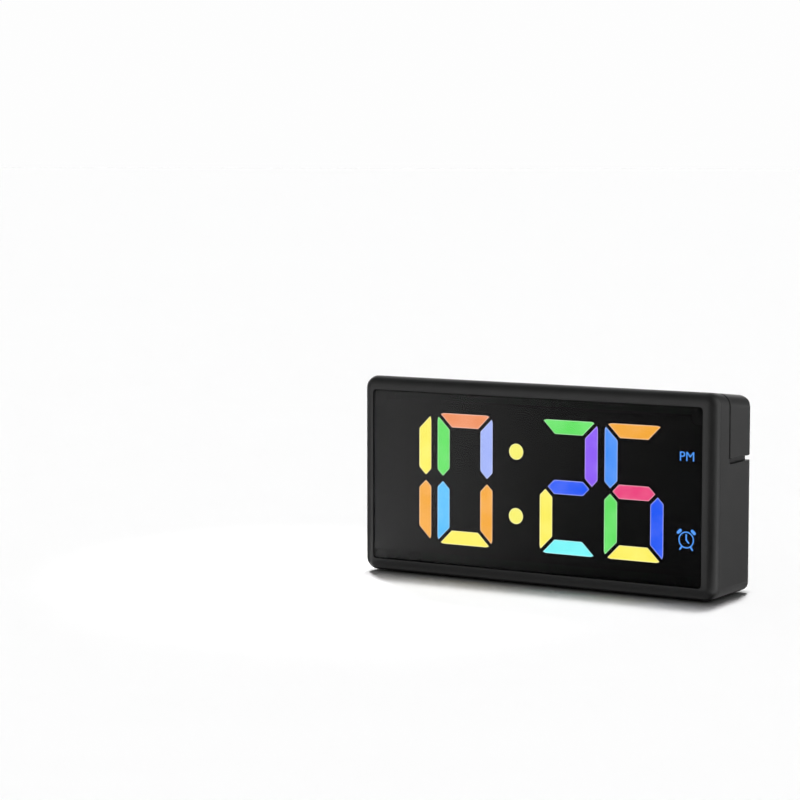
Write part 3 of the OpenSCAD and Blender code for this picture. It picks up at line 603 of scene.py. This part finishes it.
def front_sign(name, bm, x, z):
    """Lit sign on the face of the status windows."""
    raised(bm, SIGN_PROUD)
    bmesh.ops.transform(bm, matrix=Matrix.Translation((x, SIGN_FACE, z)) @ FACING_FRONT, verts=bm.verts[:])
    piece(name, bm, [bar_light["sign"]], "clock", even=False)


alarm_sign = bmesh.new()
alarm_picture(alarm_sign)
front_sign("alarm_sign", alarm_sign, SIGN_X, sign_low.z + ALARM_RISE)
front_sign("half_day_sign", lettering("PM", LETTER_HEIGHT), SIGN_X, sign_high.z - UPPER_DROP)

# Printed signs on the set buttons
PICTURES = {
    "time": time_picture, "alarm": alarm_picture, "plus": plus_picture, "minus": minus_picture,
    "dimmer": dimmer_picture,
}
PICTURE_SCALE = 0.42
PRINT_HEIGHT = 0.04 * MM
for key, picture in PICTURES.items():
    low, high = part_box(key + "_button")
    sign = bmesh.new()
    picture(sign)
    bmesh.ops.scale(sign, vec=(PICTURE_SCALE, PICTURE_SCALE, 1), verts=sign.verts[:])
    raised(sign, PRINT_HEIGHT)
    seat = Matrix.Translation(((low.x + high.x) / 2, high.y, (low.z + high.z) / 2)) @ FACING_REAR
    bmesh.ops.transform(sign, matrix=seat, verts=sign.verts[:])
    piece(key + "_sign", sign, [print_grey], key + "_key", even=False)

# Power inlet: a drawn shell with a moulded tongue
TONGUE_W = 7.2 * MM
TONGUE_H = 1.4 * MM
inlet_low, inlet_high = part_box("power_socket")
inlet_x = (inlet_low.x + inlet_high.x) / 2
inlet_z = (inlet_low.z + inlet_high.z) / 2
inlet = merged("power_socket")
for face in inlet.faces:
    middle = face.calc_center_median()
    if abs(middle.x - inlet_x) < TONGUE_W / 2 and abs(middle.z - inlet_z) < TONGUE_H / 2:
        face.material_index = 1
piece(
    "inlet", inlet, [socket_plating, black_moulding], "clock", ["power_socket"], even=False
)

# Return springs
springs = merged("snooze_springs")
coil = piece(
    "return_springs", springs, [spring_wire], "clock", ["snooze_springs"], even=False
)
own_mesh(coil)

# Finishes of the pieces inside
INSIDE = {
    "lens_tape": adhesive, "display_block": block_black,
    "display_board": board_green, "main_board": board_green,
    "display_leds": led_ivory, "display_screws": plated_steel, "board_screws": plated_steel,
    "header_pins": black_moulding, "header_socket": black_moulding, "controller_chip": black_moulding,
    "tact_switches": black_moulding, "snooze_switch": black_moulding, "buzzer": black_moulding,
    "cell_contacts": contact_strip, "backup_cell": cell_steel,
}
for node, material in INSIDE.items():
    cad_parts[node].data.materials[0] = material

# Stage: floor, lamps, studio walls, cards and camera
scene = bpy.context.scene
YAW = math.radians(31.83)
PITCH = math.radians(5.355)
FLOOR_TONE = 0.9
FLOOR_HALF = 40.0
PAPER_MM = 40.0
PAPER_SPREAD = 0.002
WHITE_LEVEL = 0.985
FILL_LEVEL = 0.12
DULL = {"Roughness": 1.0, "Specular IOR Level": 0.0}


def staged(name, bm, material):
    """Object that belongs to the stage."""
    mesh = bpy.data.meshes.new(name)
    bm.to_mesh(mesh)
    bm.free()
    mesh.materials.append(material)
    obj = bpy.data.objects.new(name, mesh)
    scene.collection.objects.link(obj)
    return obj


floor_white, floor_tree, floor_shader, floor_place = new_material("floor_white")
paper = noise(floor_tree, floor_place, PAPER_MM)
paper_tone = ramp(floor_tree, paper, grey(FLOOR_TONE - PAPER_SPREAD), grey(FLOOR_TONE))
floor_tree.links.new(paper_tone, floor_shader.inputs["Base Color"])
set_inputs(floor_shader, DULL)
floor_bm = bmesh.new()
bmesh.ops.create_grid(floor_bm, x_segments=1, y_segments=1, size=FLOOR_HALF)
floor = staged("floor", floor_bm, floor_white)


def from_behind(turn, height):
    """Turn of a lamp that shines forwards and down, with both angles in radians."""
    return Matrix.Rotation(turn, 4, "Z") @ Matrix.Rotation(height - RIGHT_ANGLE, 4, "X")


def stage_lamp(data, place):
    """Lamp of the stage that isn't seen in reflections."""
    lamp = bpy.data.objects.new(data.name, data)
    lamp.matrix_world = place
    lamp.visible_glossy = False
    scene.collection.objects.link(lamp)
    return lamp


# Lamps high behind the clock throw its shadow forwards: height and turn in degrees, share of the light
LAMPS = (
    (74, 20.5, 0.175), (76, 14.5, 0.14), (77.5, 20.5, 0.175), (79.5, 14.5, 0.13), (82, 18.5, 0.105),
    (85, 18.5, 0.105), (88, 18.5, 0.06),
)
LAMP_SPREAD = math.radians(3.5)
FULL_SUN = WHITE_LEVEL / FLOOR_TONE * math.pi
for height, turn, share in LAMPS:
    lamp_data = bpy.data.lights.new(f"back_lamp_{height}_{turn}", "SUN")
    lamp_data.angle = LAMP_SPREAD
    lamp_data.energy = share * FULL_SUN / math.sin(math.radians(height))
    stage_lamp(lamp_data, from_behind(YAW - math.radians(turn), math.radians(height)))

# A spot from behind clears the left end of that shadow, on the floor alone
SPOT_AIM = Vector((-0.085, -0.04, 0.0))
SPOT_AWAY = 0.6
SPOT_TURN = math.radians(11)
SPOT_HEIGHT = math.radians(45)
SPOT_POWER = 42
SPOT_RADIUS = 70 * MM
SPOT_CONE = math.radians(12)
spot_data = bpy.data.lights.new("left_spot", "SPOT")
spot_data.energy = SPOT_POWER
spot_data.shadow_soft_size = SPOT_RADIUS
spot_data.spot_size = SPOT_CONE
spot_data.spot_blend = 1.0
spot_back = from_behind(YAW + SPOT_TURN, SPOT_HEIGHT) @ Matrix.Translation((0, 0, SPOT_AWAY))
spot = stage_lamp(spot_data, Matrix.Translation(SPOT_AIM) @ spot_back)
floor_set = bpy.data.collections.new("floor_set")
floor_set.objects.link(floor)
spot.light_linking.receiver_collection = floor_set

# Brightness of the studio's walls, read by reflections: compass angle from the front, and level
WALLS = (
    (-90, 0.15), (-66, 0.3), (-46, 0.85), (14, 0.9), (32, 0.25), (48, 0.1), (72, 0.12), (94, 0.6), (112, 1.4),
    (132, 1.5), (144, 0.7), (154, 0.25), (178, 0.1), (196, 1.0), (234, 1.1), (246, 0.3), (270, 0.15),
)
WALLS_START = WALLS[0][0]
CEILING_LEVEL = 0.25
CEILING_RISE = (0.5, 0.85)
world = bpy.data.worlds.new("studio")
scene.world = world
world.use_nodes = True
sky_tree = world.node_tree
sky = sky_tree.nodes["Background"]
direction = sky_tree.nodes.new("ShaderNodeTexCoord").outputs["Generated"]
compass = sky_tree.nodes.new("ShaderNodeTexGradient")
compass.gradient_type = "RADIAL"
sky_tree.links.new(direction, compass.inputs["Vector"])
wall_stops = [((angle - WALLS_START) / 360, grey(level)) for angle, level in WALLS]
walls = colour_stops(sky_tree, compass.outputs["Fac"], wall_stops)
split = sky_tree.nodes.new("ShaderNodeSeparateXYZ")
sky_tree.links.new(direction, split.inputs["Vector"])
ceiling = ramp(sky_tree, split.outputs["Z"], WHITE, grey(CEILING_LEVEL), *CEILING_RISE)
room = sky_tree.nodes.new("ShaderNodeMix")
room.data_type = "RGBA"
room.blend_type = "MULTIPLY"
set_inputs(room, {"Factor": 1.0})
sky_tree.links.new(walls, room.inputs["A"])
sky_tree.links.new(ceiling, room.inputs["B"])
path = sky_tree.nodes.new("ShaderNodeLightPath")


def seen_by(kind, other, own):
    """Colour for one kind of ray, over the colour for the others."""
    choice = sky_tree.nodes.new("ShaderNodeMix")
    choice.data_type = "RGBA"
    sky_tree.links.new(path.outputs[kind], choice.inputs["Factor"])
    for socket, value in ((choice.inputs["A"], other), (choice.inputs["B"], own)):
        if isinstance(value, bpy.types.NodeSocket):
            sky_tree.links.new(value, socket)
        else:
            socket.default_value = value
    return choice.outputs["Result"]


reflected = seen_by("Is Glossy Ray", grey(FILL_LEVEL), room.outputs["Result"])
plain = seen_by("Is Transmission Ray", reflected, grey(WHITE_LEVEL))
sky_tree.links.new(seen_by("Is Camera Ray", plain, grey(WHITE_LEVEL)), sky.inputs["Color"])


# Cards and cloths over the floor
def laid_flat(name, corners, height, material):
    """Flat stage piece over the floor that only reflections see."""
    bm = bmesh.new()
    bmesh.ops.contextual_create(bm, geom=[bm.verts.new((x, y, height)) for x, y in corners])
    flat = staged(name, bm, material)
    flat.visible_camera = False
    flat.visible_diffuse = False
    flat.visible_shadow = False
    flat.visible_transmission = False
    return flat


WEAVE_MM = 5.0
WEAVE_LOW = 0.9
CARD_MM = 50.0
CARD_LOW = 0.98


def cloth(name, tone):
    """Dull woven cloth."""
    material, tree, shader, place = new_material(name)
    weave = ramp(tree, noise(tree, place, WEAVE_MM), grey(tone * WEAVE_LOW), grey(tone))
    tree.links.new(weave, shader.inputs["Base Color"])
    set_inputs(shader, {"Roughness": 1.0})
    return material


def lit_card(name, level):
    """Evenly lit card."""
    material, tree, shader, place = new_material(name)
    even = ramp(tree, noise(tree, place, CARD_MM), grey(level * CARD_LOW), grey(level))
    tree.links.new(even, shader.inputs["Emission Color"])
    set_inputs(shader, {"Emission Strength": 1.0, "Base Color": BLACK, "Specular IOR Level": 0.0})
    return material


# Whiteness of the front card, by the place along the window in millimetres
FADE = ((-76, 0.95), (-60, 0.76), (-36, 0.56), (-12, 0.33), (14, 0.17), (42, 0.09), (70, 0.07))
FADE_TURN = math.radians(29)
FADE_LENGTH = 0.16


def fading_card(name, level):
    """Card that looks evenly lit to the case, and fades from white to black along the window."""
    material, tree, shader, place = new_material(name)
    mapping = tree.nodes.new("ShaderNodeMapping")
    shift = FADE_LENGTH / 2 + FRONT_Y * math.tan(FADE_TURN)
    set_inputs(
        mapping,
        {
            "Rotation": (0, 0, FADE_TURN),
            "Scale": (1 / (FADE_LENGTH * math.cos(FADE_TURN)),) * 3,
            "Location": (shift / FADE_LENGTH, 0, 0),
        },
    )
    tree.links.new(place, mapping.inputs["Vector"])
    along = tree.nodes.new("ShaderNodeTexGradient")
    tree.links.new(mapping.outputs["Vector"], along.inputs["Vector"])
    for socket, low, high in (("Base Color", 0.0, FLOOR_TONE), ("Emission Color", level, 0.0)):
        stops = [
            (across * MM / FADE_LENGTH + 0.5, grey(low + (high - low) * white)) for across, white in FADE
        ]
        tree.links.new(colour_stops(tree, along.outputs["Fac"], stops), shader.inputs[socket])
    set_inputs(shader, {"Emission Strength": 1.0, **DULL})
    return material


case_set = bpy.data.collections.new("case_set")
for obj in (front_frame, housing, snooze_cap):
    case_set.objects.link(obj)


def case_card(name, corners, height, material):
    """Card whose light only the case receives, so that it is dark for the window."""
    flat = laid_flat(name, corners, height, material)
    flat.light_linking.receiver_collection = case_set
    return flat


# Lit cards and cloths: level or tone, height over the floor in millimetres, corners in metres
FAR_Y = -1.12
FRONT_CARD = (0.95, 0.3, ((-0.09, -0.045), (-0.7, FAR_Y), (1.4, FAR_Y), (1.4, -0.05), (0.09, -0.045)))
FAR_CARD = (0.9, 0.0, ((-0.7, 0.0), (0.3, 0.0), (0.3, 0.9), (-0.7, 0.9)))
CASE_CARDS = {
    "near_card": (0.3, 0.3, ((-0.076, -0.0145), (-0.095, -0.045), (0.1, -0.045), (0.077, -0.0145))),
    "side_card": (1.7, 0.5, ((0.086, -0.015), (1.4, 0.3), (1.4, 0.5), (1.06, 0.86), (0.086, -0.008))),
    "side_near_card": (0.4, 0.4, ((0.077, -0.012), (0.1, -0.012), (0.1, 0.03), (0.077, 0.016))),
}
CLOTHS = {
    "corner_cloth": (0.03, 0.4, ((0.083, -0.03), (0.55, -1.11), (1.3, -1.11), (1.3, -0.1))),
    "side_cloth": (0.35, 0.2, ((0.0797, 0.0), (1.4, -0.1), (1.4, 1.5), (0.05, 1.5), (0.05, 0.02))),
    "left_cloth": (0.12, 0.2, ((-0.0815, -0.0175), (-1.2, -0.47), (-1.2, 0.8), (-0.0815, 0.03))),
}
level, height_mm, corners = FRONT_CARD
case_card("front_card", corners, height_mm * MM, fading_card("front_card", level))
level, height_mm, corners = FAR_CARD
far_card = case_card("far_card", corners, height_mm * MM, lit_card("far_card", level))
far_card.data.transform(Matrix.Translation((0, FAR_Y, 0)) @ FACING_FRONT)
for name, (level, height_mm, corners) in CASE_CARDS.items():
    case_card(name, corners, height_mm * MM, lit_card(name, level))
for name, (tone, height_mm, corners) in CLOTHS.items():
    laid_flat(name, corners, height_mm * MM, cloth(name, tone))

# A net close behind the clock shades the floor under its rear edge and fades outwards
NET_LEVEL = 0.92
NET_TONE = 0.02
NET_HEIGHT = 4 * MM
NET_BACK = (17.5 * MM, 23 * MM)
NET_SIDES = (75 * MM, 79.5 * MM)


def shade_net(name):
    """Dark net that is dense along the clock and open at its rim."""
    material, tree, shader, place = new_material(name)
    parts = tree.nodes.new("ShaderNodeSeparateXYZ")
    tree.links.new(place, parts.inputs["Vector"])
    sideways = tree.nodes.new("ShaderNodeMath")
    sideways.operation = "ABSOLUTE"
    tree.links.new(parts.outputs["X"], sideways.inputs[0])
    across = map_range(tree, sideways.outputs["Value"], NET_SIDES, NET_LEVEL, 0.0)
    dense = map_range(tree, parts.outputs["Y"], NET_BACK, NET_LEVEL, 0.0)
    tree.links.new(across.outputs["Result"], dense.inputs["To Min"])
    tree.links.new(dense.outputs["Result"], shader.inputs["Alpha"])
    set_inputs(shader, {"Base Color": grey(NET_TONE)})
    return material


net_x, net_y = NET_SIDES[1], NET_BACK[1]
net_corners = ((-net_x, REAR_Y), (net_x, REAR_Y), (net_x, net_y), (-net_x, net_y))
net = laid_flat("rear_net", net_corners, NET_HEIGHT, shade_net("rear_net"))
net.visible_glossy = False
net.visible_shadow = True

# Camera
LENS_MM = 115.637
SENSOR_MM = 36.0
VIEW_END = 200.0
CAMERA_AT = Vector((0.48629, -0.89801, 0.16875))
camera_data = bpy.data.cameras.new("photo_camera")
camera_data.lens = LENS_MM
camera_data.sensor_width = SENSOR_MM
camera_data.clip_end = VIEW_END
camera = bpy.data.objects.new("photo_camera", camera_data)
camera_turn = Matrix.Rotation(YAW, 4, "Z") @ Matrix.Rotation(RIGHT_ANGLE - PITCH, 4, "X")
camera.matrix_world = Matrix.Translation(CAMERA_AT) @ camera_turn
scene.collection.objects.link(camera)
scene.camera = camera
scene.view_settings.view_transform = "Standard"
